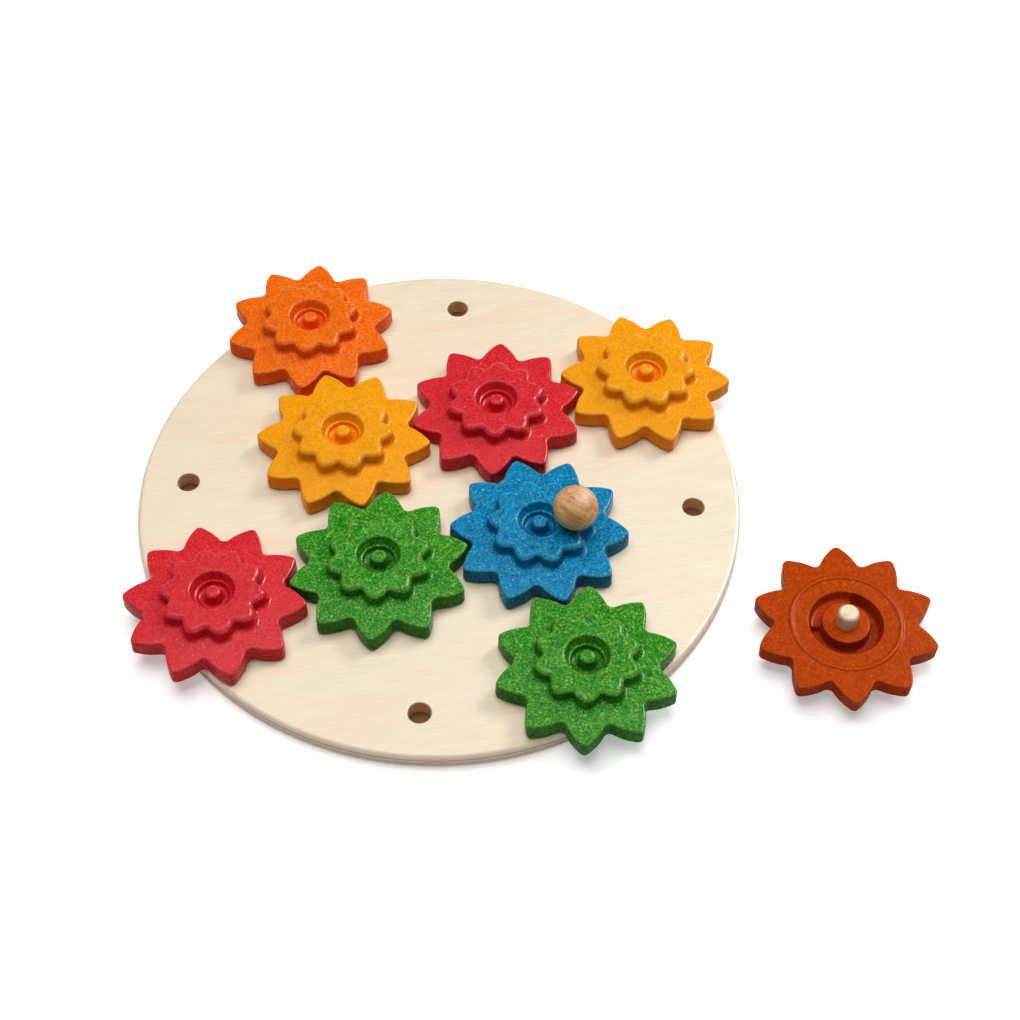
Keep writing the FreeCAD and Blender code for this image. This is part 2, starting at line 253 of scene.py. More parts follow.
def compositeMaterial(name, dye):
    finish = compositeFinish
    material, tree, surface = newMaterial(name)
    place = addNode(tree, "ShaderNodeTexCoord").outputs["Object"]
    mottle = addNode(tree, "ShaderNodeTexNoise",
                     {"Scale": 1 / (finish["mottleSize"] * mm), "Detail": 3.0, "Roughness": 0.6},
                     {"Vector": place})
    grain = addNode(tree, "ShaderNodeTexNoise",
                    {"Scale": 1 / (finish["grainSize"] * mm), "Detail": 2.0, "Roughness": 0.7},
                    {"Vector": place})
    soak = addNode(tree, "ShaderNodeMix", {"data_type": "FLOAT", 0: finish["grainShare"]},
                   {2: mottle.outputs["Fac"], 3: grain.outputs["Fac"]})
    body = colourRamp(tree, soak.outputs[0], zip(finish["dyeStops"], (dye["deep"], dye["base"], dye["pale"])))
    # pale dust lies thicker where less dye soaked in
    dust = addNode(tree, "ShaderNodeTexNoise",
                   {"noise_dimensions": "4D", "W": finish["dustDraw"], "Scale": 1 / (finish["dustSize"] * mm),
                    "Detail": 1.0}, {"Vector": place})
    dustHere = addNode(tree, "ShaderNodeMath", {"operation": "MULTIPLY_ADD", 1: finish["dustOnMottle"]},
                       {0: mottle.outputs["Fac"], 2: dust.outputs["Fac"]})
    dustStart, dustFull = finish["dustRange"]
    dustShare = addNode(tree, "ShaderNodeMapRange",
                        {"From Min": dustStart, "From Max": dustFull, "To Max": dye["flecks"]},
                        {"Value": dustHere.outputs["Value"]})
    normal = addNode(tree, "ShaderNodeNewGeometry").outputs["Normal"]
    facing = addNode(tree, "ShaderNodeSeparateXYZ", links={"Vector": normal}).outputs["Z"]
    facing = addNode(tree, "ShaderNodeMath", {"operation": "ABSOLUTE"}, {0: facing})
    upToWall, fromTop = finish["fleckRise"]
    onTop = addNode(tree, "ShaderNodeMapRange",
                    {"From Min": upToWall, "From Max": fromTop, "To Min": finish["wallFlecks"]},
                    {"Value": facing.outputs["Value"]})
    dustShown = addNode(tree, "ShaderNodeMath", {"operation": "MULTIPLY"},
                        {0: dustShare.outputs["Result"], 1: onTop.outputs["Result"]})
    dusty = addNode(tree, "ShaderNodeMix", {"data_type": "RGBA", 7: linear(dye["fleck"])},
                    {0: dustShown.outputs["Value"], 6: body})
    # bright chips: only some of the cells hold one, and it is smaller than its cell
    cells = addNode(tree, "ShaderNodeTexVoronoi", {"Scale": 1 / (finish["chipSize"] * mm)}, {"Vector": place})
    chipEdge, chipCore = finish["chipRange"]
    nearChip = addNode(tree, "ShaderNodeMapRange",
                       {"From Min": chipEdge, "From Max": chipCore, "To Max": finish["chipShare"]},
                       {"Value": cells.outputs["Distance"]})
    lot = addNode(tree, "ShaderNodeSeparateColor", links={"Color": cells.outputs["Color"]})
    chosen = addNode(tree, "ShaderNodeMath", {"operation": "LESS_THAN", 1: dye["chips"]},
                     {0: lot.outputs["Red"]})
    chip = addNode(tree, "ShaderNodeMath", {"operation": "MULTIPLY"},
                   {0: nearChip.outputs["Result"], 1: chosen.outputs["Value"]})
    chip = addNode(tree, "ShaderNodeMath", {"operation": "MULTIPLY"},
                   {0: chip.outputs["Value"], 1: onTop.outputs["Result"]})
    chipped = addNode(tree, "ShaderNodeMix", {"data_type": "RGBA", 7: linear(dye["fleck"])},
                      {0: chip.outputs["Value"], 6: dusty.outputs[2]})
    # handling has rubbed the round edges paler, with a painted highlight on them too, and painted shade
    # darkens the hollows and the walls
    wearAndPaintedLight = addNode(tree, "ShaderNodeAttribute", {"attribute_name": "wearAndPaintedLight"})
    rubbedAndSheen = addNode(tree, "ShaderNodeMath", {"operation": "MULTIPLY"},
                     {0: wearAndPaintedLight.outputs["Fac"], 1: grain.outputs["Fac"]})
    rubbedAndSheen = addNode(tree, "ShaderNodeMapRange", {"To Max": finish["rubbedAndSheenShare"]},
                     {"Value": rubbedAndSheen.outputs["Value"]})
    wornAndPainted = addNode(tree, "ShaderNodeMix", {"data_type": "RGBA", 7: linear(dye["fleck"])},
                   {0: rubbedAndSheen.outputs["Result"], 6: chipped.outputs[2]})
    # painted shade in the hollows, where the attribute is below zero
    hollow = addNode(tree, "ShaderNodeMapRange", {"From Max": -1.0, "To Max": finish["hollowPaintedShade"]},
                     {"Value": wearAndPaintedLight.outputs["Fac"]})
    # painted shade on the upright walls, by how far the normal leans from level
    topEnd, wallStart = finish["paintedShadeRise"]
    wallShade = addNode(tree, "ShaderNodeMapRange",
                   {"From Min": topEnd, "From Max": wallStart, "To Max": finish["wallPaintedShade"]},
                   {"Value": facing.outputs["Value"]})
    paintedShade = addNode(tree, "ShaderNodeMath", {"operation": "MAXIMUM"},
                    {0: hollow.outputs["Result"], 1: wallShade.outputs["Result"]})
    colour = addNode(tree, "ShaderNodeMix",
                     {"data_type": "RGBA", "blend_type": "MULTIPLY", 7: linear(dye["deep"])},
                     {0: paintedShade.outputs["Value"], 6: wornAndPainted.outputs[2]})
    tree.links.new(colour.outputs[2], surface.inputs["Base Color"])
    smoothest, roughest = (finish["roughness"] + change for change in finish["grainGloss"])
    gloss = addNode(tree, "ShaderNodeMapRange", {"To Min": smoothest, "To Max": roughest},
                    {"Value": grain.outputs["Fac"]})
    tree.links.new(gloss.outputs["Result"], surface.inputs["Roughness"])
    surface.inputs["Specular IOR Level"].default_value = dye["specular"]
    bump = addNode(tree, "ShaderNodeBump",
                   {"Strength": finish["bumpStrength"], "Distance": finish["bumpDepth"] * mm},
                   {"Height": soak.outputs[0]})
    tree.links.new(bump.outputs["Normal"], surface.inputs["Normal"])
    return material


# birch plywood, sanded and lacquered: a pale face with long faint figure, and its plies show as stripes
# on every edge
plywoodFinish = {
    # pinkish, creamy, pale and greyish veneer, and where each lies in the pattern
    "faceColours": [(0.30, "EFD3B4"), (0.44, "F0DBBC"), (0.56, "EFE1C3"), (0.70, "E7D7B6")],
    # where each ply or glue line begins, as a share of the height, and its colour
    "edgePlies": [(0.0, "DDB798"), (0.21, "ECD0B2"), (0.40, "A07C62"), (0.44, "F0DAC0"), (0.64, "A8866C"),
                  (0.71, "F2DEC6")],
    "edgeRise": (0.90, 0.55),   # from face to edge, by the height of the surface's normal
    "plyWander": 0.03,          # how far the plies stray, as a share of the height
    "wanderLength": 30.0,
    "holeWall": "EABB86",       # the bores are fresh cut and warmer
    "holeShare": 0.6,
    "rimMargin": (2.0, 3.0),    # from the rim, where the rim's colours end and the bores' begin
    "fibreWidth": 0.9,
    "fibreRange": (0.30, 0.62),
    "fibreTone": 0.915,         # what the darkest fibres leave of the colour
    "figureWidth": 4.0,
    "figureShare": 0.35,        # of the pattern, and the rest is patches
    "patchWidth": 30.0,
    "patchStretch": 3.0,
    "patchWave": 1.2,
    "stretch": 16.0,            # how much longer than wide the grain is
    "grainTurn": 5.0,           # degrees
    "roughness": 0.40,
    "fibreGloss": (-0.05, 0.12),        # what the fibres add to it
    "bumpStrength": 0.2,
    "bumpDepth": 0.03,
}


def plywoodMaterial(name, thickness, radius):
    finish = plywoodFinish
    material, tree, surface = newMaterial(name)
    place = addNode(tree, "ShaderNodeTexCoord").outputs["Object"]
    turned = addNode(tree, "ShaderNodeMapping", {"Rotation": (0, 0, math.radians(finish["grainTurn"]))},
                     {"Vector": place})
    drawn = addNode(tree, "ShaderNodeMapping", {"Scale": (1 / finish["stretch"], 1, 1)},
                    {"Vector": turned.outputs["Vector"]})
    spread = addNode(tree, "ShaderNodeMapping", {"Scale": (1 / finish["patchStretch"], 1, 1)},
                     {"Vector": turned.outputs["Vector"]})
    patches = addNode(tree, "ShaderNodeTexNoise",
                      {"Scale": 1 / (finish["patchWidth"] * mm), "Detail": 2.0, "Roughness": 0.5,
                       "Distortion": finish["patchWave"]},
                      {"Vector": spread.outputs["Vector"]})
    figure = addNode(tree, "ShaderNodeTexNoise",
                     {"Scale": 1 / (finish["figureWidth"] * mm), "Detail": 4.0, "Roughness": 0.6,
                      "Distortion": 0.5},
                     {"Vector": drawn.outputs["Vector"]})
    fibre = addNode(tree, "ShaderNodeTexNoise",
                    {"Scale": 1 / (finish["fibreWidth"] * mm), "Detail": 3.0, "Roughness": 0.6},
                    {"Vector": drawn.outputs["Vector"]})
    tone = addNode(tree, "ShaderNodeMix", {"data_type": "FLOAT", 0: finish["figureShare"]},
                   {2: patches.outputs["Fac"], 3: figure.outputs["Fac"]})
    face = colourRamp(tree, tone.outputs[0], finish["faceColours"])
    fibreLow, fibreHigh = finish["fibreRange"]
    fibreTone = addNode(tree, "ShaderNodeMapRange",
                        {"From Min": fibreLow, "From Max": fibreHigh, "To Min": finish["fibreTone"],
                         "To Max": 1.0}, {"Value": fibre.outputs["Fac"]})
    faceColour = addNode(tree, "ShaderNodeMix", {"data_type": "RGBA", "blend_type": "MULTIPLY", 0: 1.0},
                         {6: face, 7: fibreTone.outputs["Result"]})
    # plies lie one on another, and wander a little in height
    height = addNode(tree, "ShaderNodeSeparateXYZ", links={"Vector": place}).outputs["Z"]
    wobble = addNode(tree, "ShaderNodeTexNoise", {"Scale": 1 / (finish["wanderLength"] * mm), "Detail": 1.0},
                     {"Vector": place})
    wander = finish["plyWander"]
    shift = addNode(tree, "ShaderNodeMapRange", {"To Min": -wander, "To Max": wander},
                    {"Value": wobble.outputs["Fac"]})
    share = addNode(tree, "ShaderNodeMath", {"operation": "MULTIPLY_ADD", 1: 1 / thickness},
                    {0: height, 2: shift.outputs["Result"]})
    plies = colourRamp(tree, share.outputs["Value"], finish["edgePlies"])
    plies.node.color_ramp.interpolation = "CONSTANT"
    flat = addNode(tree, "ShaderNodeVectorMath", {"operation": "MULTIPLY", 1: (1, 1, 0)}, {0: place})
    fromMiddle = addNode(tree, "ShaderNodeVectorMath", {"operation": "LENGTH"}, {0: flat.outputs["Vector"]})
    rimEnd, holesStart = (radius - margin * mm for margin in finish["rimMargin"])
    inHole = addNode(tree, "ShaderNodeMapRange",
                     {"From Min": rimEnd, "From Max": holesStart, "To Max": finish["holeShare"]},
                     {"Value": fromMiddle.outputs["Value"]})
    edgeColour = addNode(tree, "ShaderNodeMix", {"data_type": "RGBA", 7: linear(finish["holeWall"])},
                         {0: inHole.outputs["Result"], 6: plies})
    edgeTone = addNode(tree, "ShaderNodeMix", {"data_type": "RGBA", "blend_type": "MULTIPLY", 0: 1.0},
                       {6: edgeColour.outputs[2], 7: fibreTone.outputs["Result"]})
    # the plies show where the surface turns away from level
    normal = addNode(tree, "ShaderNodeNewGeometry").outputs["Normal"]
    upright = addNode(tree, "ShaderNodeSeparateXYZ", links={"Vector": normal}).outputs["Z"]
    level = addNode(tree, "ShaderNodeMath", {"operation": "ABSOLUTE"}, {0: upright})
    faceEnd, edgeStart = finish["edgeRise"]
    isEdge = addNode(tree, "ShaderNodeMapRange", {"From Min": faceEnd, "From Max": edgeStart},
                     {"Value": level.outputs["Value"]})
    colour = addNode(tree, "ShaderNodeMix", {"data_type": "RGBA"},
                     {0: isEdge.outputs["Result"], 6: faceColour.outputs[2], 7: edgeTone.outputs[2]})
    tree.links.new(colour.outputs[2], surface.inputs["Base Color"])
    smoothest, roughest = (finish["roughness"] + change for change in finish["fibreGloss"])
    gloss = addNode(tree, "ShaderNodeMapRange", {"To Min": smoothest, "To Max": roughest},
                    {"Value": fibre.outputs["Fac"]})
    tree.links.new(gloss.outputs["Result"], surface.inputs["Roughness"])
    bump = addNode(tree, "ShaderNodeBump",
                   {"Strength": finish["bumpStrength"], "Distance": finish["bumpDepth"] * mm},
                   {"Height": fibre.outputs["Fac"]})
    tree.links.new(bump.outputs["Normal"], surface.inputs["Normal"])
    return material


# turned rubberwood and rolled beech dowel: streaks along the grain, and short dark pores
hardwoods = {
    "turnedRubberwood": {"light": "EEBC80", "dark": "BE783A", "pore": "7A4A24", "streakWidth": 1.7,
                         "stretch": 9.0, "poreWidth": 0.8, "pores": 0.40, "grainTurn": (-28, 0, 48),
                         "roughness": 0.55},
    "rolledBeech": {"light": "F0DCB8", "dark": "D6B888", "pore": "A67E52", "streakWidth": 0.7,
                    "stretch": 10.0, "poreWidth": 0.5, "pores": 0.45, "grainTurn": (0, 90, 0),
                    "roughness": 0.60},
}
hardwoodFinish = {
    "bandWidth": 4,             # bands are this many times as wide as the streaks
    "streakShare": 0.5,         # the rest of the pattern is bands
    "toneStops": (0.36, 0.60),  # where the dark and the light wood lie in that pattern
    "poreRange": (0.24, 0.10),  # from a pore's edge to its core, as shares of its cell
    "markRange": (1.0, 0.6),    # the same for a mark, as shares of its half size
    "bumpStrength": 0.3,
    "bumpDepth": 0.04,
}


def hardwoodMaterial(name, wood, marks=()):
    # marks are dark flecks in the figure: place, turn, half size and strength
    finish = hardwoodFinish
    material, tree, surface = newMaterial(name)
    place = addNode(tree, "ShaderNodeTexCoord").outputs["Object"]
    grainTurn = [math.radians(angle) for angle in wood["grainTurn"]]
    turned = addNode(tree, "ShaderNodeMapping", {"Rotation": grainTurn}, {"Vector": place})
    drawn = addNode(tree, "ShaderNodeMapping", {"Scale": (1 / wood["stretch"], 1, 1)},
                    {"Vector": turned.outputs["Vector"]})
    streaks = addNode(tree, "ShaderNodeTexNoise",
                      {"Scale": 1 / (wood["streakWidth"] * mm), "Detail": 4.0, "Roughness": 0.6,
                       "Distortion": 0.4},
                      {"Vector": drawn.outputs["Vector"]})
    bandWidth = wood["streakWidth"] * finish["bandWidth"] * mm
    bands = addNode(tree, "ShaderNodeTexNoise", {"Scale": 1 / bandWidth, "Detail": 2.0},
                    {"Vector": drawn.outputs["Vector"]})
    both = addNode(tree, "ShaderNodeMix", {"data_type": "FLOAT", 0: finish["streakShare"]},
                   {2: streaks.outputs["Fac"], 3: bands.outputs["Fac"]})
    body = colourRamp(tree, both.outputs[0], zip(finish["toneStops"], (wood["dark"], wood["light"])))
    cells = addNode(tree, "ShaderNodeTexVoronoi", {"Scale": 1 / (wood["poreWidth"] * mm)},
                    {"Vector": drawn.outputs["Vector"]})
    poreEdge, poreCore = finish["poreRange"]
    pore = addNode(tree, "ShaderNodeMapRange",
                   {"From Min": poreEdge, "From Max": poreCore, "To Max": wood["pores"]},
                   {"Value": cells.outputs["Distance"]})
    colour = addNode(tree, "ShaderNodeMix", {"data_type": "RGBA", 7: linear(wood["pore"])},
                     {0: pore.outputs["Result"], 6: body})
    markEdge, markCore = finish["markRange"]
    for mark, turn, size, share in marks:
        near = addNode(tree, "ShaderNodeMapping",
                       {"vector_type": "TEXTURE", "Location": mark, "Rotation": turn, "Scale": size},
                       {"Vector": place})
        near = addNode(tree, "ShaderNodeVectorMath", {"operation": "LENGTH"}, {0: near.outputs["Vector"]})
        fleck = addNode(tree, "ShaderNodeMapRange",
                        {"From Min": markEdge, "From Max": markCore, "To Max": share},
                        {"Value": near.outputs["Value"]})
        colour = addNode(tree, "ShaderNodeMix", {"data_type": "RGBA", 7: linear(wood["pore"])},
                         {0: fleck.outputs["Result"], 6: colour.outputs[2]})
    tree.links.new(colour.outputs[2], surface.inputs["Base Color"])
    surface.inputs["Roughness"].default_value = wood["roughness"]
    bump = addNode(tree, "ShaderNodeBump",
                   {"Strength": finish["bumpStrength"], "Distance": finish["bumpDepth"] * mm},
                   {"Height": streaks.outputs["Fac"]})
    tree.links.new(bump.outputs["Normal"], surface.inputs["Normal"])
    return material


materials = {name: compositeMaterial(name, dye) for name, dye in dyes.items()}
# two marks near the ball's top: place from its centre, half size and strength
ballMarks = [
    ((-2.8, -1.0, 10.5), (2.5, 0.75, 1.2), 0.75),
    ((-4.6, -2.0, 9.7), (1.8, 0.9, 1.2), 0.35),
]
markTurn = [math.radians(angle) for angle in (0, 19, -42)]  # along the ball's surface
ballLow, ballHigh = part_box("crank_ball")
ballMiddle = (ballLow + ballHigh) / 2
marks = [(ballMiddle + Vector(mark) * mm, markTurn, Vector(size) * mm, share)
         for mark, size, share in ballMarks]
materials["turnedRubberwood"] = hardwoodMaterial("turnedRubberwood", hardwoods["turnedRubberwood"], marks)
materials["rolledBeech"] = hardwoodMaterial("rolledBeech", hardwoods["rolledBeech"])
boardThickness = boardHigh.z - boardLow.z
materials["lacqueredBirchPlywood"] = plywoodMaterial("lacqueredBirchPlywood", boardThickness, boardHigh.x)

normalWeight = 80   # the wide faces keep their shading, and the rounds take the turn


def finishPiece(name, bm, material, body, node):
    # makes a smooth piece in metres from a bmesh in millimetres, and lets it stand for its node
    bmesh.ops.recalc_face_normals(bm, faces=bm.faces)
    bmesh.ops.scale(bm, vec=(mm, mm, mm), verts=bm.verts)
    for face in bm.faces:
        face.smooth = True
    mesh = bpy.data.meshes.new(name)
    bm.to_mesh(mesh)
    bm.free()
    mesh.materials.append(materials[material])
    piece = bpy.data.objects.new(name, mesh)
    scene.collection.objects.link(piece)
    weighted = piece.modifiers.new("weightedNormals", "WEIGHTED_NORMAL")
    weighted.weight = normalWeight
    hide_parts(node)
    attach(piece, body)
    return piece


def roundEdges(bm, edges, width, segments):
    return bmesh.ops.bevel(bm, geom=edges, offset=width, offset_type="OFFSET", segments=segments, profile=0.5,
                           affect="EDGES", clamp_overlap=False, material=-1)


def extrudeRing(bm, loop, points):
    # extrudes a closed loop of vertices and puts the new loop on the points
    edges = [bm.edges.get((loop[i - 1], loop[i])) for i in range(len(loop))]
    grown = set(bmesh.ops.extrude_edge_only(bm, edges=edges)["geom"])
    partners = []
    for vert, point in zip(loop, points):
        partner = next(e.other_vert(vert) for e in vert.link_edges if e.other_vert(vert) in grown)
        partner.co = point
        partners.append(partner)
    return partners


def stackRings(corners):
    # corners run from the first pole over the outside to the last pole
    # each is a ring of points with the width and segments of its bevel, and whether hands rub it, which
    # paints it paler as wear and painted highlight
    bm = bmesh.new()
    ringNumber = bm.edges.layers.int.new("ringNumber")
    # the attribute holds wear and painted highlight above zero, and painted shade below it
    wearAndPaintedLight = bm.verts.layers.float.new("wearAndPaintedLight")
    count = len(corners[0][0])
    loop = bmesh.ops.create_circle(bm, cap_ends=False, radius=1, segments=count)["verts"]
    for number, (points, *_) in enumerate(corners):
        if number == 0:
            for vert, point in zip(loop, points):
                vert.co = point
        else:
            loop = extrudeRing(bm, loop, points)
        for i in range(count):
            bm.edges.get((loop[i - 1], loop[i]))[ringNumber] = number + 1
    ends = [e for e in bm.edges if e.is_boundary]
    caps = bmesh.ops.edgeloop_fill(bm, edges=ends)["faces"]
    bmesh.ops.poke(bm, faces=caps)
    for number, (points, width, segments, rubbedAndSheen) in enumerate(corners):
        if segments:
            made = roundEdges(bm, [e for e in bm.edges if e[ringNumber] == number + 1], width, segments)
            if rubbedAndSheen:
                # rubbed bevels are painted paler: wear and a painted highlight
                madeFaces = set(made["faces"])
                for vert in made["verts"]:
                    if madeFaces.issuperset(vert.link_faces):
                        vert[wearAndPaintedLight] = 1.0
    return bm


print("board")
boardShape = {
    "holePitch": 80.0,
    "lattice": 4,           # holes along each side of a square lattice, without its corners
    "holeRadius": 5.5,
    "rimRound": 2.2,
    "rimSegments": 6,
    "holeRound": 0.6,
    "holeSegments": 3,
    "sharpTurn": 1.0,       # radians between two faces, from which their edge is a corner
    "rimSteps": 288,
    "holeSteps": 48,
}


def sharpEdges(bm):
    return [e for e in bm.edges if e.is_manifold and e.calc_face_angle() > boardShape["sharpTurn"]]


def buildBoard():
    shape = boardShape
    low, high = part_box("board")
    radius = (high.x - low.x) / 2 / mm
    middle = (shape["lattice"] - 1) / 2
    bm = bmesh.new()
    bmesh.ops.create_circle(bm, cap_ends=False, radius=radius, segments=shape["rimSteps"])
    for column in range(shape["lattice"]):
        for row in range(shape["lattice"]):
            if {column, row} <= {0, shape["lattice"] - 1}:
                continue
            centre = ((column - middle) * shape["holePitch"], (row - middle) * shape["holePitch"], 0)
            bmesh.ops.create_circle(bm, cap_ends=False, radius=shape["holeRadius"],
                                    segments=shape["holeSteps"], matrix=Matrix.Translation(centre))
    bmesh.ops.triangle_fill(bm, use_beauty=True, edges=bm.edges)
    sheet = bmesh.ops.extrude_face_region(bm, geom=bm.faces[:], use_keep_orig=True)["geom"]
    risen = [g for g in sheet if isinstance(g, bmesh.types.BMVert)]
    bmesh.ops.translate(bm, vec=(0, 0, high.z / mm), verts=risen)
    bmesh.ops.recalc_face_normals(bm, faces=bm.faces)
    rim = [e for e in sharpEdges(bm) if e.verts[0].co.xy.length > radius - shape["rimRound"]]
    roundEdges(bm, rim, shape["rimRound"], shape["rimSegments"])
    roundEdges(bm, sharpEdges(bm), shape["holeRound"], shape["holeSegments"])
    return finishPiece("plywoodBoard", bm, "lacqueredBirchPlywood", "board", "board")


buildBoard()


print("gears")
gearShape = {
    "petals": 10,
    "petalTip": 43.9, "petalValley": 34.1, "petalFlank": 27.6,
    "petalTipRound": 2.7, "petalValleyRound": 2.8,
    "flowerTip": 24.7, "flowerValley": 20.7, "flowerFlank": 9.0,
    "flowerTipRound": 3.2, "flowerValleyRound": 1.7,
    # the flower widens to its foot
    "footTip": 26.1, "footValley": 21.6, "footFlank": 10.4,
    "footTipRound": 4.6, "footValleyRound": 2.0,
    "tipSteps": 5, "flankSteps": 8, "valleySteps": 5,
    "underside": 0.6, "petalTop": 9.9, "height": 17.2,
    "petalFall": 0.036,     # the petals slope down to their tips by this share
    "petalDraft": 0.25,     # how far the outer walls lean
    "dishMouth": 10.8, "ledgeOuter": 8.8, "ledgeInner": 7.9, "ledgeDepth": 4.4, "ledgeFall": 0.3,
    "moatOuter": 7.4, "moatDepth": 7.4,
    "buttonFoot": 4.5, "buttonTop": 3.6, "buttonBelowMouth": 1.0,
    "hub": 11.3, "hubDraft": 0.2, "grooveMouth": 17.8, "grooveFloor": 16.2, "grooveDepth": 8.0,
    "beadRadius": 26.0, "beadWidth": 2.4, "beadSteps": 6, "beadMargin": 0.6,
    "padHeight": 3.0,
    "padPetals": 3,         # how many petals wide the pad is
    "padPetal": -1,         # the petal over its middle, counted from the first
    "padStepWidth": 2.0,    # degrees
    "socket": 5.05, "socketDepth": 9.0,
    "poleRadius": 0.5,      # of the small ring that closes each end
}
# hands rub the round edges (1) and the bead, both also painted paler as a highlight, and painted shade
# darkens the hollows and beside the bead
gearWearAndPaintedLight = {
    # painted shade in the moat and in the groove
    "hollow": -1.0,
    "moatShade": 1.0,       # how far down a hollow the painted shade starts
    "grooveShade": 2.0,
    # painted highlight on the bead's top, and painted shade along its foot
    "bead": 0.9,
    "beadFoot": -0.7,
    "beadFootWidth": 0.5,
    "slack": 0.01,          # for comparing places
}


def arcPoints(centre, radius, start, end, steps):
    # points of the shorter arc without its end, and their directions away from the centre
    first = math.atan2(start.y - centre.y, start.x - centre.x)
    turn = math.atan2(end.y - centre.y, end.x - centre.x) - first
    turn = (turn + math.pi) % (2 * math.pi) - math.pi
    found = []
    for i in range(steps):
        angle = first + turn * i / steps
        away = Vector((math.cos(angle), math.sin(angle)))
        found.append((centre + away * radius, away))
    return found


def petalOutline(part):
    # a closed star of petals, as points and outward directions: its tip, flank and valley arcs touch
    shape = gearShape
    tip, valley, flank = shape[part + "Tip"], shape[part + "Valley"], shape[part + "Flank"]
    tipRound, valleyRound = shape[part + "TipRound"], shape[part + "ValleyRound"]
    half = math.pi / shape["petals"]
    tipCentre = Vector((tip - tipRound, 0))
    valleyDirection = Vector((math.cos(half), math.sin(half)))
    valleyCentre = valleyDirection * (valley + valleyRound)
    # the flank's centre is at a known distance from both of the other centres
    apart = valleyCentre - tipCentre
    toTip, toValley = flank - tipRound, flank + valleyRound
    along = (apart.length_squared + toTip ** 2 - toValley ** 2) / (2 * apart.length)
    across = math.sqrt(toTip ** 2 - along ** 2)
    ahead = apart.normalized()
    flankCentre = tipCentre + ahead * along + Vector((-ahead.y, ahead.x)) * across
    if flankCentre.y > 0:
        flankCentre = tipCentre + ahead * along - Vector((-ahead.y, ahead.x)) * across
    tipTouch = flankCentre + (tipCentre - flankCentre).normalized() * flank
    valleyTouch = flankCentre + (valleyCentre - flankCentre).normalized() * flank
    rising = arcPoints(tipCentre, tipRound, Vector((tip, 0)), tipTouch, shape["tipSteps"])
    rising += arcPoints(flankCentre, flank, tipTouch, valleyTouch, shape["flankSteps"])
    hollow = arcPoints(valleyCentre, valleyRound, valleyTouch, valleyDirection * valley, shape["valleySteps"])
    rising += [(point, -away) for point, away in hollow]
    falling = [(Vector((point.x, -point.y)), Vector((away.x, -away.y)))
               for point, away in reversed(rising[1:])]
    outline = []
    for petal in range(shape["petals"]):
        here, ahead = (Matrix.Rotation(2 * half * number, 2) for number in (petal, petal + 1))
        outline += [(here @ point, here @ away) for point, away in rising]
        outline.append((here @ valleyDirection * valley, here @ valleyDirection))
        outline += [(ahead @ point, ahead @ away) for point, away in falling]
    return outline


